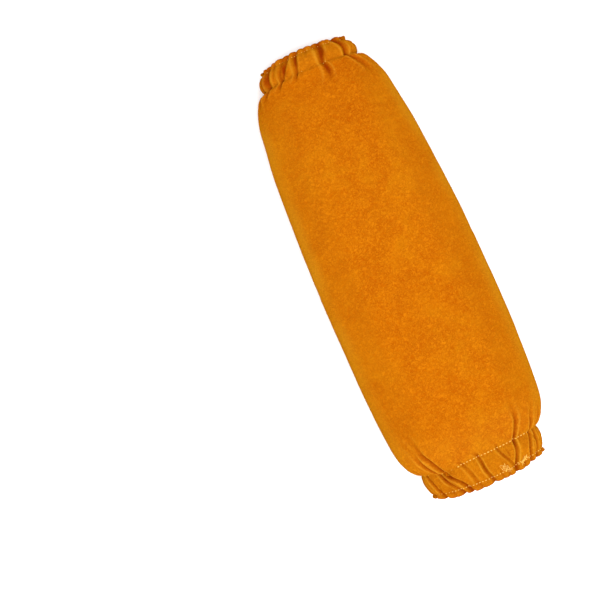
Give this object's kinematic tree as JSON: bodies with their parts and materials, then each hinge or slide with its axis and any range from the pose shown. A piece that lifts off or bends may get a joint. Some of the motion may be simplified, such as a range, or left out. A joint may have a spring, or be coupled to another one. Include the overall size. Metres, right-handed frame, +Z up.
{
  "type": "welding sleeve",
  "caption": "Tapered suede forearm sleeve, open at both ends, with turned-in elastic hems that gather into puffed cuffs with a short frill.",
  "frame": {"origin": "middle of the sleeve's length and width, on the surface that its underside lies on", "axes": "+Y along the sleeve towards the wrist end, +Z up from the surface, +X across the sleeve"},
  "size_m": [0.1602, 0.4498, 0.062],
  "materials": {
    "suede": "napped split suede, matt",
    "elastic": "woven elastic tape"
  },
  "bodies": {
    "root": {"leather_sleeve": "suede", "wrist_elastic": "elastic", "arm_elastic": "elastic"}
  },
  "joints": []
}
